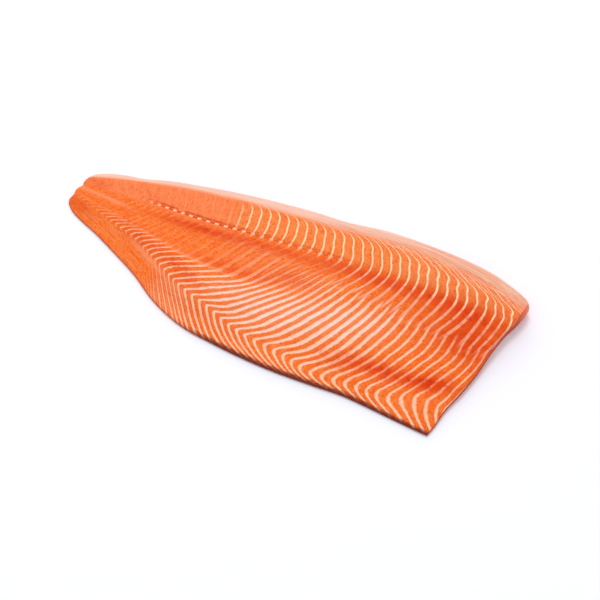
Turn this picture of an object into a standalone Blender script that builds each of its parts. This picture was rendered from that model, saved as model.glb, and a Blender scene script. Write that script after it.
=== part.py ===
# Raw side of salmon, flesh side up, lying flat: tail end to -X, head end to +X, back edge to +Y.
# The origin is at the middle of the box round the side, on the flat it rests on. Metres.
import bmesh
import bpy
import numpy as np
from mathutils import Vector
from mathutils.geometry import delaunay_2d_cdt

MM = 0.001

# Outline seen from above, in millimetres: (place along, edge)
BACK_EDGE = [(-250, 14), (-244, 22), (-236, 27.5), (-214, 36.5), (-192, 42), (-165, 52.3), (-125, 63.2),
             (-80, 73.5), (-30, 82), (5, 86.7), (35, 89.3), (85, 98.8), (130, 102.2), (175, 103), (205, 101),
             (250, 88.5)]
BELLY_EDGE = [(-252, -23), (-240, -31.5), (-226, -37), (-200, -45), (-165, -58), (-135, -70), (-100, -88),
              (-54, -101.5), (-20, -103.5), (20, -104), (50, -102.7), (95, -98), (125, -94.4), (150, -94),
              (180, -94.3), (220, -94.3)]
# Ends, as (part of the width from the belly edge, place along)
HEAD_CUT = [(0, 216), (0.04, 218), (0.15, 221), (0.3, 228.5), (0.45, 234), (0.58, 237), (0.72, 242),
            (0.85, 249), (0.92, 251.5), (0.97, 250), (1, 241.5)]
TAIL_END = [(0, -249.5), (0.08, -252), (0.2, -251.3), (0.3, -250.6), (0.38, -251.2), (0.5, -251.5),
            (0.58, -249.5), (0.635, -246.8), (0.7, -248.8), (0.8, -250), (0.9, -249.3), (1, -246)]
CENTRE_X = -0.122
CENTRE_Y = -0.464

# Thickness in millimetres at places along the side
LOIN_HEIGHT = [(-250, 9), (-200, 11.5), (-150, 14), (-50, 20.5), (50, 25.5), (150, 27.5), (210, 25),
               (250, 20)]
FLANK_HEIGHT = [(-250, 8.5), (-200, 10.5), (-150, 12), (-50, 15), (50, 15.5), (150, 13), (210, 10.5),
                (250, 9)]
BELLY_HEIGHT = [(-250, 3.5), (-100, 4.5), (-40, 5.5), (50, 6), (150, 5.5), (220, 4.5), (250, 4)]
PIN_BONE_DIP = 1.2
CENTRE_BAND_DIP = 1.0
BELLY_VALLEY_DIP = 1.4

# Rounding of the four sides: inset of the top edge and of the bottom edge
BACK_ROUND = 21
BELLY_ROUND = 5
TAIL_ROUND = 5
HEAD_ROUND = 4
UNDER_ROUND_BACK = 9
UNDER_ROUND_BELLY = 1.5
UNDER_ROUND_TAIL = 1.2
UNDER_ROUND_HEAD = 6
WIDEST_BACK = 0.36
WIDEST_BELLY = 1.6
WIDEST_HEAD = 0.45

# A point this close to a side stands on it, and points this close to each other are one
ON_SIDE = 0.01
ONE_POINT = 0.06

# Flakes: depth of the groove at each white seam and rise of the muscle between two seams
GROOVE = 0.3
RISE = 0.12

# Long marks that the seams turn at, as (place along, place across)
CREST = [(-255, -13), (-225, -19), (-185, -28), (-154, -35), (-128, -45), (-100, -57), (-74, -65), (-44, -71),
         (-14, -79), (20, -83), (50, -84), (80, -87.5), (105, -85), (130, -81), (151, -79), (164, -77),
         (175, -73), (188, -67), (200, -65.5), (225, -66), (260, -66)]
BELLY_TURN = [(-255, -8), (-230, -12), (-190, -18), (-150, -23), (-130, -26), (-80, -31), (-50, -30.5),
              (-20, -28), (0, -23), (30, -19), (60, -15), (100, -13.5), (150, -14.5), (175, -16), (195, -12),
              (225, -12), (260, -12)]
MIDDLE = [(-255, -1), (-150, 4), (-50, 6), (50, 9), (150, 11), (260, 11)]
PIN_BONES = [(-255, 5), (-200, 10), (-174, 13), (-133, 15.5), (-94, 18), (-53, 23), (0, 29), (55, 35.5),
             (110, 41), (150, 44), (200, 45), (260, 46)]
BACK_BAND = [(-255, 10), (-240, 16), (-200, 31), (-150, 45), (-100, 55), (-50, 61), (0, 66), (50, 70.5),
             (100, 73), (150, 73), (200, 70), (260, 66)]

# Seams of the belly half: (number from the head end, places along where the seam meets the belly edge,
# the crest, a quarter and a half of the way up the wall, the belly turn and the middle line)
BELLY_SEAMS = [
    (-2, 246, 225, 229, 234, 241, 244), (0, 232, 212, 217.5, 221.5, 230, 233),
    (1, 223, 199.5, 207.5, 213.5, 223, 225), (3, 203, 174.5, 185.5, 194, 206.5, 208),
    (5, 177.5, 151, 164, 174.5, 187.5, 190), (7, 155, 130, 145, 155, 168, 171),
    (9, 130, 106.5, 124.5, 136.5, 147.5, 152), (12, 99, 71, 93, 106, 117.5, 125),
    (15, 74, 41, 62, 75.5, 90.5, 99), (18, 49, 7, 28.5, 44, 62, 75), (21, 18, -24, -3.5, 12.5, 36, 51.5),
    (24, -18, -54, -38.5, -20.5, 8, 32), (27, -47, -84, -71, -54.5, -28, -5),
    (30, -67, -106, -98.5, -89, -70, -48), (33, -95, -128, -123.5, -117.5, -104, -84),
    (37, -116, -154, -151, -147, -137.5, -120), (42, -143, -192, -189.5, -185.5, -177, -160),
    (48, -182, -236, -233.5, -230.5, -223, -210), (52, -215, -262, -260, -257, -250, -238)]
# Seams of the back half: (number, places along at the middle line, the pin bones, half of the way up the
# back muscle, the start of the pale band and the back edge)
BACK_SEAMS = [
    (-2, 240, 250, 249, 240, 150), (0, 225, 233, 231, 213, 120), (1, 217, 224, 222, 206, 113),
    (2, 208, 214, 211.5, 199, 106), (3, 190, 203, 201.5, 184, 95), (5, 171.5, 183.5, 179, 166, 80),
    (8, 142, 149.5, 146, 133, 55), (11, 108.5, 119.5, 115.5, 100, 30), (13, 84.5, 100, 95.5, 79, 10),
    (15, 62.5, 79, 74, 58, -15), (18, 24, 45.5, 41.5, 27, -40), (22, -20, 0.5, -0.5, -15, -85),
    (26, -62, -42, -43.5, -55, -110), (33, -130, -115, -120, -130, -170), (39, -185, -174, -180, -190, -225),
    (44, -235, -225, -232, -240, -262)]


def along(points, place):
    """Smooth curve through the points: a cubic between each two, its slope at a point being the mean
    of the two slopes beside it, weighted by the nearer one."""
    xs, ys = np.array(points, dtype=float).T
    place = np.asarray(place, dtype=float)
    step = np.diff(xs)
    slope = np.diff(ys) / step
    lean = np.empty_like(ys)
    lean[1:-1] = (slope[:-1] * step[1:] + slope[1:] * step[:-1]) / (step[:-1] + step[1:])
    lean[0] = slope[0]
    lean[-1] = slope[-1]
    i = np.clip(np.searchsorted(xs, place) - 1, 0, len(xs) - 2)
    h = step[i]
    u = (place - xs[i]) / h
    return ((1 + 2 * u) * (1 - u) ** 2 * ys[i] + u * (1 - u) ** 2 * h * lean[i]
            + u * u * (3 - 2 * u) * ys[i + 1] + u * u * (u - 1) * h * lean[i + 1])


def ramp(low, high, value):
    """Smooth step from 0 at low to 1 at high."""
    u = np.clip((value - low) / (high - low), 0, 1)
    return u * u * (3 - 2 * u)


def bump(middle, spread, value):
    """Rounded rise of 1 at the middle that falls away on both sides over the spread."""
    return np.exp(-((value - middle) / spread) ** 2)


def width_at(x):
    return along(BACK_EDGE, x) - along(BELLY_EDGE, x)


def place_in_plan(s, t):
    """Point of the plan at the part s of the length and the part t of the width."""
    x = along(TAIL_END, t) + (along(HEAD_CUT, t) - along(TAIL_END, t)) * s
    y = along(BELLY_EDGE, x) + width_at(x) * t
    return x, y


def part_of_plan(x, y):
    """The parts of the length and of the width that a point of the plan stands at."""
    t = np.clip((y - along(BELLY_EDGE, x)) / width_at(x), 0, 1)
    s = (x - along(TAIL_END, t)) / (along(HEAD_CUT, t) - along(TAIL_END, t))
    return np.clip(s, 0, 1), t


def rounding(distance, radius):
    """Quarter of a circle: 0 on the side, 1 at the radius inward of it."""
    u = np.clip(1 - (distance - ON_SIDE) / (radius - 2 * ON_SIDE), 0, 1)
    return np.sqrt(1 - u * u)


def widest_height(x, y, t, head):
    """Height of the line round the side at which it is widest. It is higher up on the head-end cut, which
    leans in toward the bottom."""
    back = WIDEST_BACK * along(LOIN_HEIGHT, x)
    level = WIDEST_BELLY + (back - WIDEST_BELLY) * t
    return level + (WIDEST_HEAD * flesh_height(x, y, t) - level) * (1 - ramp(5, 30, head))


def flesh_height(x, y, t):
    """Height of the flesh: a thin belly wall, a flank, the thick back muscle, and three long dips."""
    belly = along(BELLY_HEIGHT, x)
    flank = along(FLANK_HEIGHT, x)
    loin = along(LOIN_HEIGHT, x)
    height = belly + (flank - belly) * ramp(0, 0.34, t) + (loin - flank) * ramp(0.36, 0.8, t)
    height -= PIN_BONE_DIP * bump(along(PIN_BONES, x), 9, y) * ramp(-230, -170, x)
    band = bump(along(MIDDLE, x) - 15, 16, y) * (1 - ramp(0, 60, x)) * ramp(-250, -180, x)
    height -= CENTRE_BAND_DIP * band
    height -= BELLY_VALLEY_DIP * bump(-50, 12, y) * ramp(70, 150, x) * (1 - 0.4 * ramp(190, 240, x))
    return height


def side_distances(s, t, x):
    """Distances in from the belly, back, tail and head sides."""
    length = along(HEAD_CUT, t) - along(TAIL_END, t)
    width = width_at(x)
    return t * width, (1 - t) * width, s * length, (1 - s) * length


def top_height(x, y):
    s, t = part_of_plan(x, y)
    belly, back, tail, head = side_distances(s, t, x)
    back_round = np.minimum(BACK_ROUND, 0.22 * width_at(x))
    rise = (rounding(belly, BELLY_ROUND) * rounding(back, back_round)
            * rounding(tail, TAIL_ROUND) * rounding(head, HEAD_ROUND))
    widest = widest_height(x, y, t, head)
    return widest + (flesh_height(x, y, t) - widest) * rise


def under_height(x, y):
    s, t = part_of_plan(x, y)
    belly, back, tail, head = side_distances(s, t, x)
    under_back = np.minimum(UNDER_ROUND_BACK, 0.15 * width_at(x))
    fall = (rounding(belly, UNDER_ROUND_BELLY) * rounding(back, under_back)
            * rounding(tail, UNDER_ROUND_TAIL) * rounding(head, UNDER_ROUND_HEAD))
    return widest_height(x, y, t, head) * (1 - fall)


def ring(belly_in, back_in, tail_in, head_in):
    """Closed line in the plan, inset by its own distance from each of the four sides, its points closer
    together at the corners."""
    s_long = np.linspace(0, 1, 79)
    t_head = 0.5 - 0.5 * np.cos(np.linspace(0, np.pi, 41))
    t_tail = 0.5 - 0.5 * np.cos(np.linspace(0, np.pi, 23))
    sides = []
    for t_row, s_row in ((0, s_long), (t_head, 1), (1, s_long[::-1]), (t_tail[::-1], 0)):
        s, t = np.broadcast_arrays(np.asarray(s_row, dtype=float), np.asarray(t_row, dtype=float))
        x, y = place_in_plan(s, t)
        width = width_at(x)
        length = along(HEAD_CUT, t) - along(TAIL_END, t)
        back_most = np.minimum(back_in, 0.22 * width)
        s = np.clip(s, tail_in / length, 1 - head_in / length)
        t = np.clip(t, belly_in / width, 1 - back_most / width)
        x, y = place_in_plan(s, t)
        sides.append(np.stack([x, y], axis=1)[:-1])
    return np.concatenate(sides)


def belly_seam(number, v):
    """Places along and across of a belly seam; v runs from 0 at the belly edge over 1 at the crest to 5
    at the middle line. It turns sharply at the crest, bends smoothly above it and, toward the head end,
    lies down along the belly edge."""
    keys = np.array(BELLY_SEAMS, dtype=float)
    at = [np.interp(number, keys[:, 0], keys[:, column]) for column in range(1, 7)]
    low = 1 - np.clip(v, 0, 1)
    bend = 0.38 * float(ramp(-100, 0, at[1]))
    flank = at[1] + (at[0] - at[1]) * ((1 - bend) * low + bend * low ** 3)
    wall = along([(1 + i, at[1 + i]) for i in range(5)], np.maximum(v, 1))
    x = np.where(v < 1, flank, wall)
    edge = along(BELLY_EDGE, x)
    crest = along(CREST, x)
    turn = along(BELLY_TURN, x)
    rows = [edge, crest, crest + 0.25 * (turn - crest), crest + 0.55 * (turn - crest), turn, along(MIDDLE, x)]
    return x, across(rows, v)


def back_seam(number, v):
    """Places along and across of a back seam; v runs from 0 at the middle line over 1 at the pin bones,
    where it stands square to them, to 4 at the back edge."""
    keys = np.array(BACK_SEAMS, dtype=float)
    at = [np.interp(number, keys[:, 0], keys[:, column]) for column in range(1, 6)]
    below = at[1] - (at[1] - at[0]) * np.clip(1 - v, 0, 1) ** 1.6
    above = along([(0, at[2]), (1, at[1]), (2, at[2]), (3, at[3]), (4, at[4])], np.maximum(v, 1))
    x = np.where(v < 1, below, above)
    bones = along(PIN_BONES, x)
    band = along(BACK_BAND, x)
    rows = [along(MIDDLE, x), bones, bones + 0.45 * (band - bones), band, along(BACK_EDGE, x)]
    return x, across(rows, v)


def across(rows, v):
    """Place across at the row coordinate v, straight between one row and the next."""
    i = np.clip(np.floor(v).astype(int), 0, len(rows) - 2)
    low = np.choose(i, rows)
    high = np.choose(i + 1, rows)
    return low + (high - low) * (v - i)


def seam_lines():
    """Every seam and the ridge midway to the next one, as (points, height added)."""
    lines = []
    steps = {belly_seam: np.array([0.35, 0.7, 1, 1.3, 1.7, 2.1, 2.6, 3.1, 3.6, 4.0, 4.5]),
             back_seam: np.array([0.3, 0.6, 0.85, 1.1, 1.5, 1.9, 2.3, 2.7, 3.05])}
    for seam, v in steps.items():
        for half in range(-2, 89):
            number = half / 2
            x, y = seam(number, v)
            s, t = part_of_plan(x, y)
            belly, back, tail, head = side_distances(s, t, x)
            back_clear = np.minimum(BACK_ROUND, 0.22 * width_at(x)) + 1.5
            inside = (belly > BELLY_ROUND + 1.5) & (back > back_clear)
            inside &= (tail > TAIL_ROUND + 1.5) & (head > HEAD_ROUND + 1.5)
            inside &= (y > along(BELLY_EDGE, x)) & (y < along(BACK_EDGE, x))
            strength = 0.35 + 0.65 * ramp(-200, -120, x)
            if seam is back_seam:
                strength = strength * (0.3 + 0.7 * ramp(-90, -40, x)) * (1 - 0.8 * ramp(2.5, 3.2, v))
            else:
                strength = strength * (1 - 0.75 * ramp(3.6, 4.4, v) * (1 - ramp(40, 110, x)))
            added = strength * (-GROOVE if half % 2 == 0 else RISE)
            lines.append((np.stack([x, y], axis=1), added, inside))
    return lines


def sheet(points, edges, loop_count, added, height):
    """Triangles that fill the outline and keep every given edge, raised to the height of the flesh."""
    flat = [Vector((float(x), float(y))) for x, y in points]
    outline = list(range(loop_count))
    corners, _, faces, origins, _, _ = delaunay_2d_cdt(flat, edges, [outline], 1, 1e-4)
    x = np.array([corner.x for corner in corners])
    y = np.array([corner.y for corner in corners])
    extra = np.array([added[origin[0]] if origin else 0.0 for origin in origins])
    z = height(x, y) + extra
    return np.stack([x, y, z], axis=1), faces


def loop_edges(first, count):
    return [(first + i, first + (i + 1) % count) for i in range(count)]


def rounding_loops(core, turns):
    """Loops that close in from the outline to the core as the rounded side turns over to the flat."""
    outline = ring(0, 0, 0, 0)
    points = []
    edges = []
    for turn in np.radians(turns):
        edges += loop_edges(len(points), len(outline))
        points += list(outline + (core - outline) * (1 - np.cos(turn)))
    return points, edges, len(outline)


def build_top():
    core = ring(BELLY_ROUND, BACK_ROUND, TAIL_ROUND, HEAD_ROUND)
    points, edges, loop_count = rounding_loops(core, [0, 20, 40, 60, 78, 90])
    added = [0.0] * len(points)
    for line, extra, inside in seam_lines():
        before = None
        for spot, rise, kept in zip(line, extra, inside):
            if not kept:
                before = None
                continue
            points.append(spot)
            added.append(float(rise))
            if before is not None:
                edges.append((before, len(points) - 1))
            before = len(points) - 1
    return sheet(points, edges, loop_count, added, top_height)


def build_under():
    core = ring(UNDER_ROUND_BELLY, UNDER_ROUND_BACK, UNDER_ROUND_TAIL, UNDER_ROUND_HEAD)
    points, edges, loop_count = rounding_loops(core, [0, 30, 60, 90])
    return sheet(points, edges, loop_count, [0.0] * len(points), under_height)


def flesh_material():
    material = bpy.data.materials.new("raw_salmon")
    material.use_nodes = True
    shader = material.node_tree.nodes["Principled BSDF"]
    shader.inputs["Base Color"].default_value = (0.88, 0.21, 0.07, 1)
    shader.inputs["Roughness"].default_value = 0.35
    shader.inputs["Metallic"].default_value = 0
    return material


def build_fillet():
    shape = bmesh.new()
    for corners, faces in (build_top(), build_under()):
        placed = [shape.verts.new(((x - CENTRE_X) * MM, (y - CENTRE_Y) * MM, z * MM)) for x, y, z in corners]
        for face in faces:
            shape.faces.new([placed[i] for i in face])
    bmesh.ops.remove_doubles(shape, verts=shape.verts, dist=ONE_POINT * MM)
    bmesh.ops.recalc_face_normals(shape, faces=shape.faces)
    mesh = bpy.data.meshes.new("fillet")
    shape.to_mesh(mesh)
    shape.free()
    mesh.materials.append(flesh_material())
    return bpy.data.objects.new("fillet", mesh)


for old in list(bpy.data.objects):
    bpy.data.objects.remove(old, do_unlink=True)
group = bpy.data.collections.new("salmon_side")
bpy.context.scene.collection.children.link(group)
group.objects.link(build_fillet())
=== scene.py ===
import math
from types import SimpleNamespace

import bpy
import numpy as np
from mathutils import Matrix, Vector


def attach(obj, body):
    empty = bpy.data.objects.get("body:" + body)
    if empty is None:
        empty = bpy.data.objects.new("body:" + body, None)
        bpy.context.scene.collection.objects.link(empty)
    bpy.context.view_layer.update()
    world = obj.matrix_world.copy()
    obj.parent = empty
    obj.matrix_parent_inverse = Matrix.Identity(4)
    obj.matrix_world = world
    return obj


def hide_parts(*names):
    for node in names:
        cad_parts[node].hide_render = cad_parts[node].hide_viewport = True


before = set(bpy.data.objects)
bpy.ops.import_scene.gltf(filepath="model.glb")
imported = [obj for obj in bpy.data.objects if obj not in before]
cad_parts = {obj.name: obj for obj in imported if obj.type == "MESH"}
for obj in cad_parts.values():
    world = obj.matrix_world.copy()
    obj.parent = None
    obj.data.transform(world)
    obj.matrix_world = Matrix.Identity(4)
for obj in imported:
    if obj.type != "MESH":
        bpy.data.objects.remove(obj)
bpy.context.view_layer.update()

# Shape of the side in millimetres, as it is measured from above: tail end to -X, back edge to +Y
MM = 0.001
CENTRE = (-0.122, -0.464)

# Edges in plan, as (place along, place across)
BACK_EDGE = [(-250, 14), (-244, 22), (-236, 27.5), (-214, 36.5), (-192, 42), (-165, 52.3), (-125, 63.2),
             (-80, 73.5), (-30, 82), (5, 86.7), (35, 89.3), (85, 98.8), (130, 102.2), (175, 103), (205, 101),
             (250, 88.5)]
BELLY_EDGE = [(-252, -23), (-240, -31.5), (-226, -37), (-200, -45), (-165, -58), (-135, -70), (-100, -88),
              (-54, -101.5), (-20, -103.5), (20, -104), (50, -102.7), (95, -98), (125, -94.4), (150, -94),
              (180, -94.3), (220, -94.3)]

# Ends in plan, as (part of the width counted from the belly, place along)
HEAD_CUT = [(0, 216), (0.04, 218), (0.15, 221), (0.3, 228.5), (0.45, 234), (0.58, 237), (0.72, 242),
            (0.85, 249), (0.92, 251.5), (0.97, 250), (1, 241.5)]
TAIL_END = [(0, -249.5), (0.08, -252), (0.2, -251.3), (0.3, -250.6), (0.38, -251.2), (0.5, -251.5),
            (0.58, -249.5), (0.635, -246.8), (0.7, -248.8), (0.8, -250), (0.9, -249.3), (1, -246)]

# Heights of the flesh, as (place along, height), and the parts of the width over which one becomes the next
LOIN_HEIGHT = [(-250, 9), (-200, 11.5), (-150, 14), (-50, 20.5), (50, 25.5), (150, 27.5), (210, 25),
               (250, 20)]
FLANK_HEIGHT = [(-250, 8.5), (-200, 10.5), (-150, 12), (-50, 15), (50, 15.5), (150, 13), (210, 10.5),
                (250, 9)]
BELLY_HEIGHT = [(-250, 3.5), (-100, 4.5), (-40, 5.5), (50, 6), (150, 5.5), (220, 4.5), (250, 4)]
FLANK_CLIMB = (0, 0.34)
LOIN_CLIMB = (0.36, 0.8)

# Depths of the long dips
PIN_BONE_DIP = 1.2
CENTRE_BAND_DIP = 1.0
BELLY_VALLEY_DIP = 1.4

# Radii of the rounded sides, above and under the widest line, and the most of the width they may take
BACK_ROUND = 21
BELLY_ROUND = 5
TAIL_ROUND = 5
HEAD_ROUND = 4
UNDER_ROUND_BACK = 9
UNDER_ROUND_BELLY = 1.5
UNDER_ROUND_TAIL = 1.2
UNDER_ROUND_HEAD = 6
BACK_ROUND_PART = 0.22
UNDER_ROUND_PART = 0.15

# Height of the widest line: part of the loin's height at the back, millimetres at the belly, and part of
# the flesh's height at the head-end cut, with the distances in from the cut over which that part fades
WIDEST_BACK = 0.36
WIDEST_BELLY = 1.6
WIDEST_HEAD = 0.45
HEAD_LEAN_REACH = (5, 30)

# Relief of the flakes: depth of the groove on a seam, rise of a flake, and how narrow the groove is
GROOVE = 0.3
RISE = 0.12
GROOVE_POWER = 8

# Grid of the plan: stations along, rows on the rounded edges, rows between one long mark and the next, and
# the part of the width that is kept free for each mark at both ends
STATIONS = 396
EDGE_ROWS = 9
BACK_ROWS = 15
ROWS_BETWEEN = (12, 28, 11, 10, 16, 7)
LEAST_GAP = 0.02

# Long marks that the white seams turn at, as (place along, place across)
CREST = [(-255, -13), (-225, -19), (-185, -28), (-154, -35), (-128, -45), (-100, -57), (-74, -65), (-44, -71),
         (-14, -79), (20, -83), (50, -84), (80, -87.5), (105, -85), (130, -81), (151, -79), (164, -77),
         (175, -73), (188, -67), (200, -65.5), (225, -66), (260, -66)]
BELLY_TURN = [(-255, -8), (-230, -12), (-190, -18), (-150, -23), (-130, -26), (-80, -31), (-50, -30.5),
              (-20, -28), (0, -23), (30, -19), (60, -15), (100, -13.5), (150, -14.5), (175, -16), (195, -12),
              (225, -12), (260, -12)]
MIDDLE = [(-255, -1), (-150, 4), (-50, 6), (50, 9), (150, 11), (260, 11)]
PIN_BONES = [(-255, 5), (-200, 10), (-174, 13), (-133, 15.5), (-94, 18), (-53, 23), (0, 29), (55, 35.5),
             (110, 41), (150, 44), (200, 45), (260, 46)]
BACK_BAND = [(-255, 10), (-240, 16), (-200, 31), (-150, 45), (-100, 55), (-50, 61), (0, 66), (50, 70.5),
             (100, 73), (150, 73), (200, 70), (260, 66)]

# Rows between the crest and the belly turn, and between the pin bones and the back band, as parts of the way
LOW_WALL_PART = 0.25
HIGH_WALL_PART = 0.55
BACK_WALL_PART = 0.45

# Belly seams, numbered from the head end, each with its places along at the belly edge, the crest, the low
# and high wall rows, the belly turn and the middle
BELLY_SEAMS = [
    (-2, 246, 225, 229, 234, 241, 244), (0, 232, 212, 217.5, 221.5, 230, 233),
    (1, 223, 199.5, 207.5, 213.5, 223, 225), (3, 203, 174.5, 185.5, 194, 206.5, 208),
    (5, 177.5, 151, 164, 174.5, 187.5, 190), (7, 155, 130, 145, 155, 168, 171),
    (9, 130, 106.5, 124.5, 136.5, 147.5, 152), (12, 99, 71, 93, 106, 117.5, 125),
    (15, 74, 41, 62, 75.5, 90.5, 99), (18, 49, 7, 28.5, 44, 62, 75), (21, 18, -24, -3.5, 12.5, 36, 51.5),
    (24, -18, -54, -36, -18, 8, 32), (27, -47, -84, -71.5, -54.5, -23, -3),
    (30, -67, -106, -101.5, -91, -68, -48), (33, -95, -128, -125, -119, -105, -86),
    (37, -116, -154, -152, -149, -140, -121), (42, -143, -192, -189.5, -185.5, -177, -160),
    (48, -182, -236, -233.5, -230.5, -223, -210), (52, -215, -262, -260, -257, -250, -238)]

# Back seams, numbered from the head end, each with its places along at the middle, the pin bones, the
# back wall row, the back band and the back edge
BACK_SEAMS = [
    (-2, 240, 250, 249, 240, 150), (0, 225, 233, 231, 213, 120), (1, 217, 224, 222, 206, 113),
    (2, 208, 214, 211.5, 199, 106), (3, 190, 203, 201.5, 184, 95), (5, 171.5, 183.5, 179, 166, 80),
    (8, 142, 149.5, 146, 133, 55), (11, 108.5, 119.5, 115.5, 100, 30), (13, 84.5, 100, 95.5, 79, 10),
    (15, 62.5, 79, 74, 58, -15), (18, 24, 45.5, 41.5, 27, -40), (22, -20, 0.5, -0.5, -15, -85),
    (26, -62, -42, -43.5, -55, -110), (33, -130, -115, -120, -130, -170), (39, -185, -174, -180, -190, -225),
    (44, -235, -225, -232, -240, -262), (49, -270, -265, -270, -275, -290)]

# Millimetres from one seam to the next in front of the first
SEAM_STEP_IN_FRONT = 10

# Rounding of a belly seam's turn: its bend, and how far apart, in rows, the places it is the mean of are
TURN_BEND = 0.38
TURN_APART = 0.08
TURN_APART_HEAD = 0.24

# Soft patches of colour: (place along, place across, reach along, reach across, slope, amount)
DEEP_PATCHES = [
    (218, 15, 30, 45, 0, 0.25), (190, 40, 55, 12, 0.03, 0.72), (98, 32, 55, 8, 0.10, 0.8),
    (205, 12, 40, 20, 0, 0.6), (150, -54, 45, 8, 0.10, 0.85), (200, -43, 22, 9, 0.25, 0.8),
    (110, -66, 30, 8, 0.15, 0.5), (-100, 6, 50, 5, 0.07, 0.8), (-20, 17, 60, 5, 0.10, 0.55),
    (-70, -78, 35, 7, -0.20, 0.35), (-90, -46, 38, 9, -0.35, 0.4), (-150, -32, 35, 8, -0.30, 0.45),
    (-235, -24, 25, 7, -0.20, 0.42), (-232, 11, 16, 5, 0.10, 0.35), (20, -6, 25, 8, 0.1, 0.4)]
# Patches of painted sheen: a whitish haze laid into the colour where light glances off the moist belly
SHEEN_PATCHES = [
    (60, -38, 60, 26, 0.25, 1.0), (0, -58, 40, 18, 0.25, 0.55), (115, -16, 28, 16, 0.2, 0.55),
    (-40, -50, 50, 14, 0.35, 0.5)]


def along(points, place):
    """Smooth curve through the points: a cubic between each two, its slope at a point being the mean
    of the two slopes beside it, weighted by the nearer one."""
    xs, ys = np.array(points, dtype=float).T
    place = np.asarray(place, dtype=float)
    step = np.diff(xs)
    slope = np.diff(ys) / step
    lean = np.empty_like(ys)
    lean[1:-1] = (slope[:-1] * step[1:] + slope[1:] * step[:-1]) / (step[:-1] + step[1:])
    lean[0] = slope[0]
    lean[-1] = slope[-1]
    i = np.clip(np.searchsorted(xs, place) - 1, 0, len(xs) - 2)
    h = step[i]
    u = (place - xs[i]) / h
    return ((1 + 2 * u) * (1 - u) ** 2 * ys[i] + u * (1 - u) ** 2 * h * lean[i]
            + u * u * (3 - 2 * u) * ys[i + 1] + u * u * (u - 1) * h * lean[i + 1])


def ramp(low, high, value):
    """Smooth step from 0 at low to 1 at high."""
    u = np.clip((value - low) / (high - low), 0, 1)
    return u * u * (3 - 2 * u)


def fade(low, high, value):
    """Smooth step from 1 at low to 0 at high."""
    return 1 - ramp(low, high, value)


def bump(middle, spread, value):
    """Rounded rise of 1 at the middle that falls away on both sides over the spread."""
    return np.exp(-((value - middle) / spread) ** 2)


def width_at(x):
    """Width of the plan: from the belly edge to the back edge."""
    return along(BACK_EDGE, x) - along(BELLY_EDGE, x)


def length_at(t):
    """Length of the plan at the part t of the width: from the tail end to the head cut."""
    return along(HEAD_CUT, t) - along(TAIL_END, t)


def place_in_plan(s, t):
    """Point of the plan at the part s of the length and the part t of the width."""
    x = along(TAIL_END, t) + length_at(t) * s
    return x, along(BELLY_EDGE, x) + width_at(x) * t


def rounding(distance, radius):
    """Quarter of a circle: 0 on the side, 1 at the radius inward of it."""
    u = np.clip(1 - distance / radius, 0, 1)
    return np.sqrt(1 - u * u)


def widest_height(x, y, t, head):
    """Height of the line round the side at which it is widest. It is higher up on the head-end cut, which
    leans in toward the bottom."""
    back = WIDEST_BACK * along(LOIN_HEIGHT, x)
    level = WIDEST_BELLY + (back - WIDEST_BELLY) * t
    return level + (WIDEST_HEAD * flesh_height(x, y, t) - level) * fade(*HEAD_LEAN_REACH, head)


def flesh_height(x, y, t):
    """Height of the flesh: a thin belly wall, a flank and the thick back muscle, each rising into the next
    by a smooth step, less three long dips with rounded cross-sections."""
    belly = along(BELLY_HEIGHT, x)
    flank = along(FLANK_HEIGHT, x)
    loin = along(LOIN_HEIGHT, x)
    height = belly + (flank - belly) * ramp(*FLANK_CLIMB, t) + (loin - flank) * ramp(*LOIN_CLIMB, t)
    bones = bump(along(PIN_BONES, x), 9, y) * ramp(-230, -170, x)
    band = bump(along(MIDDLE, x) - 15, 16, y) * fade(0, 60, x) * ramp(-250, -180, x)
    valley = bump(-50, 12, y) * ramp(70, 150, x) * (1 - 0.4 * ramp(190, 240, x))
    return height - PIN_BONE_DIP * bones - CENTRE_BAND_DIP * band - BELLY_VALLEY_DIP * valley


def row_place(rows, y):
    """Row coordinate of the place across y: counts the rows below it, straight between two of them."""
    v = (y - rows[0]) / (rows[1] - rows[0])
    for i in range(1, len(rows) - 1):
        v = np.where(y >= rows[i], i + (y - rows[i]) / (rows[i + 1] - rows[i]), v)
    return v


def seam_count(seams, reach, x, v):
    """Number of the seam that passes through each point, with its fraction toward the next one. reach
    gives where a seam with known places crosses the row coordinate v; the number runs straight between
    one such seam and the next, and at even steps in front of the first."""
    ahead = reach(seams[0], v)
    number = seams[0][0] + (ahead - x) / SEAM_STEP_IN_FRONT
    for near, far in zip(seams[:-1], seams[1:]):
        behind = reach(far, v)
        part = (ahead - x) / (ahead - behind)
        number = np.where(x <= ahead, near[0] + part * (far[0] - near[0]), number)
        ahead = behind
    return number


def belly_reach(seam, v):
    """A belly seam: turned at the crest, v = 1, smooth above it to v = 5 and, toward the head end, lying
    down along the belly edge, v = 0. The turn is rounded, most of all toward the head end, by taking the
    mean of three places a little apart."""
    bend = TURN_BEND * float(ramp(-100, 0, seam[2]))
    apart = TURN_APART + TURN_APART_HEAD * float(ramp(0, 120, seam[2]))

    def sharp(at):
        """The seam with its turn left sharp: a straight line and a cube below the crest, a curve above."""
        low = 1 - np.clip(at, -0.2, 1)
        flank = seam[2] + (seam[1] - seam[2]) * ((1 - bend) * low + bend * low ** 3)
        wall = along([(1 + i, seam[2 + i]) for i in range(5)], np.clip(at, 1, 6))
        return np.where(at < 1, flank, wall)

    return (sharp(v - apart) + sharp(v) + sharp(v + apart)) / 3


def back_reach(seam, v):
    """A back seam: it stands square to the pin bones, v = 1, and lies down toward the back edge, v = 4."""
    below = seam[2] - (seam[2] - seam[1]) * np.clip(1 - v, 0, 1.6) ** 1.6
    above = along([(0, seam[3]), (1, seam[2]), (2, seam[3]), (3, seam[4]), (4, seam[5])], np.clip(v, 1, 4.4))
    return np.where(v < 1, below, above)


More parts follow.
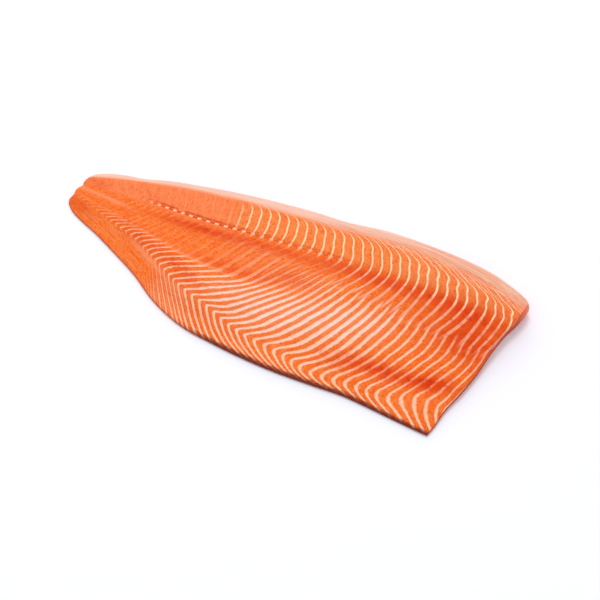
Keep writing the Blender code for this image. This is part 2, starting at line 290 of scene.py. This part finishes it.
def seams_at(x, y):
    """Belly and back seam numbers, and the row coordinates on both halves: low counts from the belly edge
    to the middle, high from the middle to the back edge."""
    crest = along(CREST, x)
    wall = along(BELLY_TURN, x) - crest
    middle = along(MIDDLE, x)
    bones = along(PIN_BONES, x)
    band = along(BACK_BAND, x)
    low = row_place([along(BELLY_EDGE, x), crest, crest + LOW_WALL_PART * wall, crest + HIGH_WALL_PART * wall,
                     crest + wall, middle], y)
    high = row_place([middle, bones, bones + BACK_WALL_PART * (band - bones), band, along(BACK_EDGE, x)], y)
    belly_number = seam_count(BELLY_SEAMS, belly_reach, x, low)
    return belly_number, seam_count(BACK_SEAMS, back_reach, x, high), low, high


def patches(spots, x, y):
    """Sum of soft oval patches: each falls off as a bell curve along and across a slightly sloping line."""
    total = np.zeros_like(x)
    for place, across, reach_x, reach_y, slope, amount in spots:
        dx = x - place
        dy = y - across - slope * dx
        total = total + amount * np.exp(-(dx / reach_x) ** 2 - (dy / reach_y) ** 2)
    return np.clip(total, 0, 1)


def inset_rows(radius, count):
    """Distances in from a side that turn evenly round its rounded edge."""
    return radius * (1 - np.cos(np.linspace(0, np.pi / 2, count)))


def station_parts(length):
    """Parts of the length at which the stations stand, for the length at each: close together round the
    tail's and the head's edge, even between them."""
    tail = inset_rows(TAIL_ROUND, EDGE_ROWS)[:, None]
    head = inset_rows(HEAD_ROUND, EDGE_ROWS)[::-1, None]
    even = np.linspace(0, 1, STATIONS)[1:-1, None]
    first = TAIL_ROUND / length[EDGE_ROWS:-EDGE_ROWS]
    last = 1 - HEAD_ROUND / length[EDGE_ROWS:-EDGE_ROWS]
    return np.concatenate([tail / length[:EDGE_ROWS], first + even * (last - first),
                           1 - head / length[-EDGE_ROWS:]])


def long_marks(s):
    """Parts of the width at which the long marks cross the stations, between the two rounded edges. A mark
    is found by stepping to its place and asking again, and is held off both edges with room for the marks
    beyond it."""
    marks = []
    for mark in (CREST, BELLY_TURN, MIDDLE, PIN_BONES, BACK_BAND):
        t = np.full_like(s, 0.5)
        for _ in range(4):
            x, _y = place_in_plan(s, t)
            t = (along(mark, x) - along(BELLY_EDGE, x)) / width_at(x)
        marks.append(t)
    x_low, _y = place_in_plan(s, 0.0 * s)
    x_high, _y = place_in_plan(s, 0.0 * s + 1)
    start = BELLY_ROUND / width_at(x_low)
    end = 1 - np.minimum(BACK_ROUND, BACK_ROUND_PART * width_at(x_high)) / width_at(x_high)
    count = len(marks)
    marks = [np.clip(t, start + LEAST_GAP * (i + 1), end - LEAST_GAP * (count - i))
             for i, t in enumerate(marks)]
    return np.array([start] + marks + [end])


def plan_grid():
    """Grid of the plan: stations from tail to head, rows from the belly edge to the back edge. Both are
    close together on the rounded sides, and the rows between follow the long marks."""
    middle_length = np.full((STATIONS - 2 + 2 * EDGE_ROWS, 1), length_at(0.5))
    marks = long_marks(station_parts(middle_length)[:, 0])
    belly = inset_rows(1, EDGE_ROWS)[:-1, None]
    back = inset_rows(1, BACK_ROWS)[::-1, None]
    row = np.concatenate([np.linspace(i, i + 1, n, endpoint=False) for i, n in enumerate(ROWS_BETWEEN)])
    i = row.astype(int)
    part = (row - i)[:, None]
    between = marks[i] * (1 - part) + marks[i + 1] * part
    t_grid = np.concatenate([marks[0] * belly, between, 1 - (1 - marks[-1]) * back]).T
    return station_parts(length_at(t_grid)), t_grid


def side_distances(s, t, x):
    """Distances in from the belly, back, tail and head sides."""
    length = length_at(t)
    width = width_at(x)
    return t * width, (1 - t) * width, s * length, (1 - s) * length


def seam_strengths(x, low, high):
    """How strongly the belly seams and the back seams show, and how far the pale band along the back has
    set in, each from 0 to 1 and a product of smooth steps. Belly seams are faint toward the tail end and
    above the belly turn on the tail half, are missing on the flank near the tail, and end at the middle.
    Back seams are nearly gone on the tail third, faint under the pin bones except on the head third, and
    end at the pale band."""
    central = ramp(3.75, 4.2, low) * fade(20, 70, x) * fade(-0.2, 0.5, high)
    flank = fade(0.9, 1.05, low)
    belly = (0.2 + 0.8 * ramp(-225, -150, x)) * fade(4.75, 5.3, low)
    belly = belly * (1 - (0.9 - 0.3 * ramp(-60, 0, x)) * central)
    belly = belly * (1 - flank * fade(-128, -98, x))
    belly = belly * (1 - 0.4 * flank * fade(-110, -60, x))
    toward_head = ramp(20, 110, x)
    back = ramp(-0.35, 0.1, high) * (0.06 + 0.94 * ramp(-82, -50, x))
    back = back * (1 - 0.75 * fade(0.78, 1.0, high) * fade(40, 90, x))
    back = back * (1 - 0.92 * ramp(2.7 + 0.35 * toward_head, 3.1 + 0.35 * toward_head, high))
    pale = ramp(2.85 + 0.2 * toward_head, 3.25 + 0.2 * toward_head, high)
    return belly, back, pale


def seam_shares(x, low, high, frost):
    """Share of the step from one seam to the next that the white takes, a sum of smooth steps. The belly's
    is wider across the wall, on the flank and under the painted sheen, and narrower toward the head end.
    The back's is wider under the pin bones and toward the head end."""
    flank = fade(0.9, 1.05, low)
    wide = ramp(1.0, 1.6, low) * fade(4.2, 4.9, low) * ramp(-100, 0, x) * fade(100, 150, x)
    # The belly seams widen under the painted sheen
    belly = 0.28 + 0.12 * wide + 0.06 * frost + 0.08 * flank * ramp(-90, -50, x) - 0.03 * ramp(110, 150, x)
    back = 0.15 + 0.09 * fade(0.6, 1.1, high) * ramp(0, 80, x) + 0.04 * ramp(80, 150, x)
    return belly, back


def small_marks(x, y, low, high):
    """Strengths of the smaller marks, from 0 to 1, each a product of smooth steps along the side and a
    step or a rounded rise across the rows: the warmer back muscle, the grain of the tail's flank, the fine
    seams between the others, the gaps beside the belly turn, the line along it, the pin bones, and the
    two thin lines on the tail."""
    flank = fade(0.9, 1.05, low)
    warm = ramp(1.0, 1.4, high) * fade(2.6, 3.1, high) * ramp(-100, -40, x) * (1 - 0.5 * ramp(150, 220, x))
    tail_flank = 0.6 * flank * fade(-150, -105, x)
    flank_fine = flank * fade(-90, -40, x) * ramp(-115, -95, x)
    wall_fine = 0.5 * bump(4.7, 0.45, low) * ramp(-80, -40, x) * fade(40, 90, x)
    back_fine = bump(3.0, 0.3, high) * ramp(-40, 60, x)
    gaps = 0.6 * bump(4.19, 0.16, low) * ramp(-100, -60, x) * fade(0, 30, x)
    turn_line = bump(3.97, 0.06, low) * fade(-65, -35, x) * ramp(-235, -200, x)
    turn_line = turn_line * (0.6 + 0.4 * ramp(-110, -80, x))
    bones = ramp(-188, -140, x) * (1 - 0.4 * ramp(-60, -30, x)) * fade(40, 90, x)
    middle_line = bump(-2.5, 2.5, y) * fade(-200, -165, x)
    crest_line = bump(along(CREST, x) - 4, 3, y) * ramp(-175, -140, x) * fade(-112, -98, x)
    return SimpleNamespace(warm=warm, tail_flank=tail_flank, belly_fine=flank_fine + wall_fine,
                           back_fine=back_fine, gaps=gaps, turn_line=turn_line, bones=bones,
                           tail_line=middle_line + crest_line)


def flake_relief(number):
    """Rise of the flakes between the seams: a cosine of the seam number, sharpened by a high power so
    that it dips only near a whole number."""
    return RISE - (GROOVE + RISE) * np.cos(np.pi * number) ** GROOVE_POWER


def flesh_surfaces(s, t):
    """Upper and under surface over the plan grid: quarter circles from the widest line up to the flesh
    and down to the flat underside. With them come the facts that the finish needs at each point."""
    x, y = place_in_plan(s, t)
    belly, back, tail, head = side_distances(s, t, x)
    over_back = np.minimum(BACK_ROUND, BACK_ROUND_PART * width_at(x))
    rise = (rounding(belly, BELLY_ROUND) * rounding(back, over_back)
            * rounding(tail, TAIL_ROUND) * rounding(head, HEAD_ROUND))
    under_back = np.minimum(UNDER_ROUND_BACK, UNDER_ROUND_PART * width_at(x))
    fall = (rounding(belly, UNDER_ROUND_BELLY) * rounding(back, under_back)
            * rounding(tail, UNDER_ROUND_TAIL) * rounding(head, UNDER_ROUND_HEAD))
    widest = widest_height(x, y, t, head)
    belly_number, back_number, low, high = seams_at(x, y)
    belly_seen, back_seen, pale = seam_strengths(x, low, high)
    relief = belly_seen * flake_relief(belly_number) + back_seen * flake_relief(back_number)
    upper = widest + (flesh_height(x, y, t) - widest) * rise + relief * rise ** 2
    under = widest * (1 - fall)

    # Painted sheen: where light glances off the moist belly, as a whitish haze in the colour
    frost = patches(SHEEN_PATCHES, x, y)
    belly_share, back_share = seam_shares(x, low, high, frost)
    small = small_marks(x, y, low, high)
    facts = {"seam_number": (belly_number, back_number, high),
             "seam_seen": (belly_seen, back_seen, pale),
             "seam_share": (belly_share, back_share, small.warm),
             "edge": (np.minimum(belly, 20), np.minimum(head, 20), small.tail_flank),
             "fine_seams": (small.belly_fine, small.back_fine, small.gaps),
             "tone": (patches(DEEP_PATCHES, x, y), frost, small.turn_line),
             "bone": (y - along(PIN_BONES, x), small.bones, small.tail_line)}
    return x, y, upper, under, {name: np.stack(values, axis=-1) for name, values in facts.items()}


def flat_map(x, y, upper):
    """Map of both surfaces: u runs with the place along, v with the way walked across the upper surface,
    the underside in the lower half of the picture and the upper surface in the upper half."""
    margin = 0.01
    half = 0.5 - 2 * margin
    u = margin + (1 - 2 * margin) * (x - x.min()) / (x.max() - x.min())
    across = np.zeros_like(x)
    across[:, 1:] = np.cumsum(np.hypot(np.diff(y, axis=1), np.diff(upper, axis=1)), axis=1)
    v = margin + half * across / across.max()
    return np.stack([u, v + 0.5], axis=-1).reshape(-1, 2), np.stack([u, v], axis=-1).reshape(-1, 2)


def smooth_mesh(name, points, faces):
    """Smooth mesh of four-cornered faces, from whole arrays."""
    mesh = bpy.data.meshes.new(name)
    mesh.vertices.add(len(points))
    mesh.vertices.foreach_set("co", points.ravel())
    mesh.loops.add(faces.size)
    mesh.loops.foreach_set("vertex_index", faces.ravel().astype(np.int32))
    mesh.polygons.add(len(faces))
    mesh.polygons.foreach_set("loop_start", np.arange(0, faces.size, 4, dtype=np.int32))
    mesh.polygons.foreach_set("use_smooth", np.ones(len(faces), dtype=bool))
    mesh.update(calc_edges=True)
    return mesh


def build_fillet():
    """Closed side of salmon: the upper surface on the plan grid and, under it, the same grid for the
    under surface with its winding turned over. The two share the line round the outline. The dots of
    the pin bones are kept off the underside."""
    s, t = plan_grid()
    x, y, upper, under, facts = flesh_surfaces(s, t)
    rows, columns = x.shape
    top_ids = np.arange(rows * columns).reshape(rows, columns)
    inside = np.zeros((rows, columns), dtype=bool)
    inside[1:-1, 1:-1] = True
    under_ids = top_ids.copy()
    under_ids[inside] = rows * columns + np.arange(inside.sum())

    def both(values):
        """Values of the upper points, then of the under points inside the outline."""
        flat = values.reshape(rows * columns, -1)
        return np.concatenate([flat, values[inside].reshape(inside.sum(), -1)])

    def quads(ids, turned):
        """Four-cornered faces between neighbours of the grid, wound the other way where turned."""
        a, b, c, d = ids[:-1, :-1], ids[1:, :-1], ids[1:, 1:], ids[:-1, 1:]
        order = (a, d, c, b) if turned else (a, b, c, d)
        return np.stack(order, axis=-1).reshape(-1, 4)

    height = np.concatenate([upper.ravel(), under[inside]])
    points = np.stack([both(x)[:, 0] - CENTRE[0], both(y)[:, 0] - CENTRE[1], height], axis=1) * MM
    faces = np.concatenate([quads(top_ids, False), quads(under_ids, True)])
    mesh = smooth_mesh("salmon_side", points, faces)
    for name, values in facts.items():
        vectors = both(values)
        if name == "bone":
            vectors[rows * columns:, 1:] = 0
        layer = mesh.attributes.new(name, "FLOAT_VECTOR", "POINT")
        layer.data.foreach_set("vector", vectors.ravel())

    map_top, map_under = flat_map(x, y, upper)
    corners = np.concatenate([map_top[quads(top_ids, False)], map_under[quads(top_ids, True)]])
    mesh.uv_layers.new(name="OFBake").uv.foreach_set("vector", corners.ravel())
    mesh.validate()
    side = bpy.data.objects.new("salmon_side", mesh)
    bpy.context.scene.collection.objects.link(side)
    return side


class Finish:
    """Lays out the nodes of one material. A value is a number, a colour or another node's socket."""

    def __init__(self, name):
        self.material = bpy.data.materials.new(name)
        self.material.use_nodes = True
        self.tree = self.material.node_tree
        self.shader = self.tree.nodes["Principled BSDF"]

    def node(self, kind, **settings):
        """A new node with its settings."""
        made = self.tree.nodes.new(kind)
        for key, value in settings.items():
            setattr(made, key, value)
        return made

    def put(self, socket, value):
        """Links or sets the value."""
        if isinstance(value, bpy.types.NodeSocket):
            self.tree.links.new(value, socket)
        else:
            socket.default_value = value

    def math(self, operation, a, b=0.0, clamp=False):
        """The operation worked out on a and b, held between 0 and 1 where clamp is set."""
        made = self.node("ShaderNodeMath", operation=operation, use_clamp=clamp)
        self.put(made.inputs[0], a)
        self.put(made.inputs[1], b)
        return made.outputs[0]

    def plus(self, a, b, clamp=False):
        """a and b together, held between 0 and 1 where clamp is set."""
        return self.math("ADD", a, b, clamp)

    def minus(self, a, b):
        """a less b."""
        return self.math("SUBTRACT", a, b)

    def times(self, first, *others, clamp=False):
        """Product of the values, each step of it held between 0 and 1 where clamp is set."""
        product = first
        for value in others:
            product = self.math("MULTIPLY", product, value, clamp)
        return product

    def step(self, low, high, value):
        """Smooth step from 0 at low to 1 at high, also where low is the higher one."""
        made = self.node("ShaderNodeMapRange", interpolation_type="SMOOTHSTEP")
        self.put(made.inputs["Value"], value)
        self.put(made.inputs["From Min"], low)
        self.put(made.inputs["From Max"], high)
        return made.outputs[0]

    def lay(self, under, over, *parts):
        """The colour over, laid on the colour under by the product of the parts."""
        made = self.node("ShaderNodeMix", data_type="RGBA")
        self.put(made.inputs[0], self.times(*parts))
        self.put(made.inputs[6], under)
        self.put(made.inputs[7], over)
        return made.outputs[2]

    def noise(self, vector, scale, detail, rough):
        """Noise from 0 to 1 with the number of waves to the metre, or to the unit, that scale gives."""
        made = self.node("ShaderNodeTexNoise")
        self.put(made.inputs["Vector"], vector)
        made.inputs["Scale"].default_value = scale
        made.inputs["Detail"].default_value = detail
        made.inputs["Roughness"].default_value = rough
        return made.outputs["Fac"]

    def stretched(self, a, b, c):
        """Noise over three worked-out coordinates, so that it stretches along the slowest of them."""
        joined = self.node("ShaderNodeCombineXYZ")
        for socket, value in zip(joined.inputs, (a, b, c)):
            self.put(socket, value)
        return self.noise(joined.outputs[0], 1.0, 3.0, 0.6)

    def parts(self, vector):
        """The three numbers of a vector."""
        split = self.node("ShaderNodeSeparateXYZ")
        self.put(split.inputs[0], vector)
        return split.outputs[0], split.outputs[1], split.outputs[2]

    def fact(self, name):
        """The three numbers of one of the mesh's facts."""
        return self.parts(self.node("ShaderNodeAttribute", attribute_name=name).outputs["Vector"])


def srgb(red, green, blue):
    """Screen colour from 0 to 255 as the linear values that a shader takes."""
    c = np.array([red, green, blue]) / 255
    c = np.where(c <= 0.04045, c / 12.92, ((c + 0.055) / 1.055) ** 2.4)
    return (*[float(v) for v in c], 1.0)


# Colours of the muscle
MUSCLE = srgb(243, 102, 10)
MUSCLE_CLOUD = srgb(247, 114, 28)
MUSCLE_BLOTCH = srgb(238, 86, 8)
WARM_BACK = srgb(244, 144, 78)
VEIL = srgb(246, 152, 118)
FIBRE = srgb(250, 140, 72)
DAPPLE_DARK = srgb(226, 70, 2)
DAPPLE_LIGHT = srgb(252, 152, 84)
FINE_GRAIN = srgb(250, 156, 104)
STRAND_LIGHT = srgb(250, 146, 84)
STRAND_DARK = srgb(228, 70, 2)
# Painted sheen: whitish haze where light glances off the moist belly
SHEEN_HAZE = srgb(240, 148, 96)
TAIL_GRAIN = srgb(248, 150, 96)
DEEP_RED = srgb(220, 52, 1)
DEEP_SPECKLE = srgb(190, 44, 4)
GAP_RED = srgb(224, 60, 2)

# Colours of the fatty band along the back
BAND = srgb(234, 154, 124)
BAND_STREAK = srgb(242, 194, 168)
BAND_PALE = srgb(236, 202, 186)
BAND_HAIR = srgb(204, 106, 70)

# Colours of the seams and of the thin pale lines
BELLY_SEAM = srgb(252, 200, 166)
BELLY_SEAM_DEEP = srgb(247, 140, 92)
# Seam colour under the painted sheen
BELLY_SEAM_SHEEN = srgb(252, 212, 196)
BACK_SEAM_FOOT = srgb(250, 170, 138)
BACK_SEAM = srgb(255, 224, 178)
FINE_SEAM = srgb(248, 176, 134)
TURN_LINE = srgb(250, 176, 128)
BAND_EDGE_STREAK = srgb(248, 196, 160)
TAIL_LINE = srgb(248, 166, 124)

# Colours of the pin bones, the head-end cut and the rims. The cut's red is partly painted shade, darkest at
# its foot, and the belly's rim is painted shade
BONE_SHADE = srgb(208, 54, 2)
BONE_DOT = srgb(252, 206, 160)
# Painted shade: the cut darkest at its foot, and its red partly painted shade of a face turned from the lamps
CUT_FOOT_SHADE = srgb(180, 56, 38)
CUT = srgb(202, 72, 50)
CUT_AT_BACK = srgb(250, 128, 98)
# Painted shade on the belly's side, and deeper painted shade on its ragged head half
BELLY_RIM_SHADE = srgb(178, 62, 40)
BELLY_RIM_DEEP_SHADE = srgb(116, 38, 31)


def surface_marks(f):
    """What the parts of the finish share: the place in metres, the facts of the mesh, and the noises, from
    broad clouds to fine grain, with the ones that run along fibres and streaks."""
    m = SimpleNamespace()
    place = f.node("ShaderNodeTexCoord").outputs["Object"]
    m.along, m.across, m.up = f.parts(place)
    m.belly_number, m.back_number, m.high = f.fact("seam_number")
    m.belly_seen, m.back_seen, m.pale = f.fact("seam_seen")
    m.belly_share, m.back_share, m.warm = f.fact("seam_share")
    m.belly_in, m.head_in, m.tail_flank = f.fact("edge")
    m.belly_fine, m.back_fine, m.gaps = f.fact("fine_seams")
    m.deep, m.frost, m.turn_line = f.fact("tone")
    m.bone_gap, m.bone_seen, m.tail_line = f.fact("bone")

    m.cloudy = f.noise(place, 30, 3, 0.55)
    m.blotchy = f.noise(place, 150, 3, 0.6)
    m.mottled = f.noise(place, 170, 4, 0.6)
    m.dapple = f.noise(place, 430, 3, 0.65)
    m.fine = f.noise(place, 900, 2, 0.6)
    waver = f.times(f.minus(f.noise(place, 90, 2, 0.5), 0.5), 0.18)
    m.drift = f.plus(waver, f.times(f.minus(m.dapple, 0.5), 0.24))
    heights = f.times(m.up, 300.0)
    both_numbers = f.plus(m.back_number, m.belly_number)
    m.strand = f.stretched(f.times(both_numbers, 2.2), f.times(m.across, 110.0), 0.0)
    m.back_fibre = f.stretched(f.times(m.back_number, 0.6), f.times(m.across, 800.0), heights)
    m.streak = f.stretched(f.times(m.along, 18.0), f.times(m.high, 24.0), heights)
    m.hair = f.stretched(f.times(m.along, 30.0), f.times(m.high, 60.0), heights)
    m.grain = f.stretched(f.times(m.along, 30.0), f.times(m.belly_in, 0.7), 0.0)
    m.deep_red = f.times(m.deep, f.plus(0.45, f.times(m.dapple, 0.95)), clamp=True)
    return m


def from_seam(f, number):
    """0 half way between two seams, 1 on a seam."""
    off = f.math("ABSOLUTE", f.minus(f.math("FRACT", number), 0.5))
    return f.times(off, 2.0)


def seam_line(f, m, number, share, seen, soft, wander=1.0):
    """White over the share round each whole seam number, which a slow drift shifts, with soft sides and a
    strength that the mottling breaks up."""
    near = from_seam(f, f.plus(number, f.times(m.drift, wander)))
    centre = f.minus(1.0, share)
    line = f.step(f.minus(centre, soft), f.plus(centre, soft), near)
    return f.times(f.times(line, seen), f.plus(0.45, m.mottled), clamp=True)


def add_seam_lines(f, m):
    """Belly seams, back seams, and the fine seams half way between them. The first two are a little weaker
    in the deep patches and end at the head-end cut."""
    seen = f.times(f.minus(1.0, f.times(m.deep, 0.2)), f.step(0.3, 1.6, m.head_in))
    m.belly_line = seam_line(f, m, m.belly_number, m.belly_share, f.times(m.belly_seen, seen), 0.17)
    m.back_line = seam_line(f, m, m.back_number, m.back_share, f.times(m.back_seen, seen), 0.10, 0.35)
    m.fine_line = f.plus(seam_line(f, m, f.times(m.belly_number, 2.0), 0.4, m.belly_fine, 0.2),
                         seam_line(f, m, f.times(m.back_number, 2.0), 0.3, m.back_fine, 0.15))


def muscle(f, m):
    """Orange muscle: clouds and blotches, a warmer and a veiled back, fibres, dapples and strands, then
    the painted sheen on the belly, the grain of the tail's flank, the deep red patches, and the gaps beside
    the turn."""
    flesh = f.lay(MUSCLE, MUSCLE_CLOUD, f.step(0.3, 0.7, m.cloudy))
    flesh = f.lay(flesh, WARM_BACK, m.warm, 0.6)
    flesh = f.lay(flesh, MUSCLE_BLOTCH, f.step(0.48, 0.62, m.blotchy), 0.4)
    tail_veil = f.times(f.step(-0.03, -0.1, m.along), f.step(0.2, 1.2, m.high))
    head_veil = f.times(f.step(0.09, 0.16, m.along), f.step(0.9, 1.5, m.high), 0.45)
    flesh = f.lay(flesh, VEIL, f.math("MAXIMUM", tail_veil, head_veil), 0.35)
    flesh = f.lay(flesh, FIBRE, f.step(0.4, 0.75, m.back_fibre), 0.55)
    dapple_amount = f.minus(0.75, f.times(tail_veil, 0.4))
    flesh = f.lay(flesh, DAPPLE_DARK, f.step(0.5, 0.3, m.dapple), dapple_amount)
    flesh = f.lay(flesh, DAPPLE_LIGHT, f.step(0.54, 0.66, m.dapple), 0.4)
    flesh = f.lay(flesh, FINE_GRAIN, f.step(0.56, 0.7, m.fine), 0.35)
    flesh = f.lay(flesh, STRAND_LIGHT, f.step(0.52, 0.66, m.strand), 0.4)
    flesh = f.lay(flesh, STRAND_DARK, f.step(0.46, 0.32, m.strand), 0.4)
    # Painted sheen laid on the belly
    flesh = f.lay(flesh, SHEEN_HAZE, m.frost, 0.44)
    flesh = f.lay(flesh, TAIL_GRAIN, m.tail_flank, f.step(0.42, 0.68, m.grain))
    flesh = f.lay(flesh, DEEP_RED, m.deep_red)
    off_seam = f.step(0.85, 0.35, from_seam(f, f.plus(m.belly_number, m.drift)))
    return f.lay(flesh, GAP_RED, m.gaps, off_seam)


def fatty_band(f, m):
    """Pale band along the back: lengthwise streaks, paler away from the head end, and brown hair streaks
    low on its head half."""
    band = f.lay(BAND, BAND_STREAK, f.step(0.38, 0.62, m.streak))
    band = f.lay(band, BAND_PALE, f.step(0.16, 0.08, m.along), 0.5)
    low_band = f.times(f.step(3.9, 3.2, m.high), f.step(-0.02, 0.06, m.along))
    return f.lay(band, BAND_HAIR, f.step(0.50, 0.62, m.hair), low_band, 0.6)


def seam_colours(f, m, colour):
    """White seams over the flesh: darker in the deep patches, whiter under the painted sheen, and on the back
    pink at the foot and cream above. The line along the belly turn and the streaks where the back seams run
    into the band come on top."""
    belly_white = f.lay(BELLY_SEAM, BELLY_SEAM_DEEP, m.deep_red)
    # Seams made whiter under the painted sheen
    belly_white = f.lay(belly_white, BELLY_SEAM_SHEEN, m.frost)
    back_white = f.lay(BACK_SEAM_FOOT, BACK_SEAM, f.step(0.6, 1.2, m.high))
    colour = f.lay(colour, belly_white, m.belly_line)
    colour = f.lay(colour, back_white, m.back_line)
    colour = f.lay(colour, FINE_SEAM, m.fine_line, 0.4)
    colour = f.lay(colour, TURN_LINE, m.turn_line, 0.5)
    return f.lay(colour, BAND_EDGE_STREAK, f.step(0.5, 0.66, m.streak), f.step(2.75, 3.1, m.high), 0.75)


def pin_bones(f, m, colour):
    """Dotted row of the pin bones: a dark line with a ragged dark line above it, and a pale dot where
    each back seam crosses it. The thin lines on the tail come with it."""
    on_line = f.step(1.5, 0.5, f.math("ABSOLUTE", f.minus(m.bone_gap, 0.4)))
    on_line = f.times(on_line, m.bone_seen)
    above = f.step(2.0, 0.6, f.math("ABSOLUTE", f.minus(m.bone_gap, 3.2)))
    above = f.times(above, m.bone_seen, f.step(0.35, 0.55, m.mottled))
    colour = f.lay(colour, BONE_SHADE, f.math("MAXIMUM", above, on_line), 0.8)
    colour = f.lay(colour, BONE_DOT, on_line, f.step(0.45, 0.7, from_seam(f, m.back_number)), 0.9)
    return f.lay(colour, TAIL_LINE, m.tail_line, 0.5)


def cut_and_rims(f, m, colour):
    """Head-end cut, its red partly painted shade and darkest at its foot, paler at the back, dark speckles in
    the deep patches, and painted shade on the belly's rim, darkest and ragged on the head half."""
    # Painted shade: the cut darkens toward its foot
    cut = f.lay(CUT_FOOT_SHADE, CUT, f.step(0.3, 1.6, m.head_in))
    cut = f.lay(cut, CUT_AT_BACK, f.step(1.7, 4.0, m.high))
    top_line = f.plus(1.2, f.times(f.step(1.6, 3.2, m.high), 2.6))
    colour = f.lay(colour, cut, f.step(top_line, f.minus(top_line, 0.8), m.head_in))
    colour = f.lay(colour, DEEP_SPECKLE, f.step(0.50, 0.34, m.mottled), m.deep_red, 0.7)
    # Painted shade along the belly's side, deeper and ragged on the head half
    colour = f.lay(colour, BELLY_RIM_SHADE, f.step(1.5, 0.2, m.belly_in), 0.7)
    ragged = f.plus(m.belly_in, f.times(f.minus(m.mottled, 0.5), 5.0))
    head_half = f.step(-0.075, -0.01, m.along)
    return f.lay(colour, BELLY_RIM_DEEP_SHADE, f.step(4.8, 1.1, ragged), head_half, 0.88)


def moist_surface(f, m):
    """Gloss of moist flesh, uneven and a little duller on the seams, a little light let in under the
    surface, and a fine relief of fibres and grain with the seams sunk in."""
    lines = f.plus(m.belly_line, m.back_line, clamp=True)
    wet = f.plus(0.22, f.times(m.mottled, 0.22))
    f.put(f.shader.inputs["Roughness"], f.plus(wet, f.times(lines, 0.08)))
    f.shader.inputs["IOR"].default_value = 1.4
    f.shader.inputs["Specular IOR Level"].default_value = 0.10
    f.shader.inputs["Specular Tint"].default_value = (1.0, 0.80, 0.55, 1)
    f.shader.inputs["Subsurface Weight"].default_value = 0.12
    f.shader.inputs["Subsurface Radius"].default_value = (1.0, 0.35, 0.18)
    f.shader.inputs["Subsurface Scale"].default_value = 0.002

    height = f.plus(f.times(m.back_fibre, 0.4), f.times(m.fine, 0.25))
    height = f.plus(height, f.times(m.dapple, 0.5))
    height = f.minus(height, f.times(lines, 0.3))
    relief = f.node("ShaderNodeBump")
    relief.inputs["Strength"].default_value = 0.45
    relief.inputs["Distance"].default_value = 0.0006
    f.put(relief.inputs["Height"], height)
    f.put(f.shader.inputs["Normal"], relief.outputs["Normal"])


def raw_salmon():
    """Raw salmon: orange muscle with deep patches and patches of painted sheen, a pale fatty band along the
    back, white seams between the flakes, fine fibres across them, the dotted row of pin bones, and painted
    shade on the head-end cut and the belly's rim."""
    f = Finish("raw_salmon")
    m = surface_marks(f)
    add_seam_lines(f, m)
    colour = f.lay(muscle(f, m), fatty_band(f, m), m.pale)
    colour = seam_colours(f, m, colour)
    colour = pin_bones(f, m, colour)
    colour = cut_and_rims(f, m, colour)
    f.put(f.shader.inputs["Base Color"], colour)
    moist_surface(f, m)
    return f.material


def pale_floor():
    """Plain pale floor, a hair under the side."""
    mesh = bpy.data.meshes.new("floor")
    reach = 6.0
    below = -0.0002
    corners = [(-reach, -reach, below), (reach, -reach, below), (reach, reach, below), (-reach, reach, below)]
    mesh.from_pydata(corners, [], [(0, 1, 2, 3)])
    floor = bpy.data.objects.new("floor", mesh)
    bpy.context.scene.collection.objects.link(floor)
    f = Finish("pale_floor")
    f.shader.inputs["Base Color"].default_value = (0.95, 0.95, 1.0, 1)
    f.shader.inputs["Roughness"].default_value = 0.8
    mesh.materials.append(f.material)
    return floor


def soft_light(name, place, aim, size, power, colour):
    """Square soft light at a place, turned to face the aim."""
    data = bpy.data.lights.new(name, "AREA")
    data.size = size
    data.energy = power
    data.color = colour
    light = bpy.data.objects.new(name, data)
    light.location = place
    light.rotation_euler = (Vector(aim) - Vector(place)).to_track_quat("-Z", "Y").to_euler()
    bpy.context.scene.collection.objects.link(light)
    return light


def even_sky(colour, strength):
    """Light from all round, the same in every direction."""
    world = bpy.data.worlds.new("studio")
    world.use_nodes = True
    sky = world.node_tree.nodes["Background"]
    sky.inputs["Color"].default_value = colour
    sky.inputs["Strength"].default_value = strength
    bpy.context.scene.world = world


# Camera that stands as the photograph was taken: turned toward the head end and looking down at a slant
AZIMUTH = math.radians(28)
ELEVATION = math.radians(58)
DISTANCE = 1.044
AIM = Vector((0.0357 - CENTRE[0] * MM, -0.01465 - CENTRE[1] * MM, 0.0))


def stand_camera():
    """Camera at the distance from its aim, back along the viewing direction."""
    data = bpy.data.cameras.new("camera")
    data.lens = 60
    data.sensor_width = 36
    back = Vector((math.sin(AZIMUTH) * math.cos(ELEVATION), -math.cos(AZIMUTH) * math.cos(ELEVATION),
                   math.sin(ELEVATION)))
    camera = bpy.data.objects.new("camera", data)
    camera.location = AIM + back * DISTANCE
    camera.rotation_euler = (math.pi / 2 - ELEVATION, 0, AZIMUTH)
    bpy.context.scene.collection.objects.link(camera)
    bpy.context.scene.camera = camera


side = build_fillet()
side.data.materials.append(raw_salmon())
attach(side, "root")
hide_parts("fillet")

pale_floor()
soft_light("window", (-1.52, 1.68, 5.55), (0.05, -0.04, 0), 1.9, 112, (1.0, 0.985, 0.965))
soft_light("back_light", (-2.3, 3.5, 2.8), (0, 0, 0), 3.0, 32, (1.0, 0.98, 0.95))
even_sky((0.94, 0.955, 1.0, 1), 0.77)
bpy.context.scene.view_settings.view_transform = "Standard"
stand_camera()
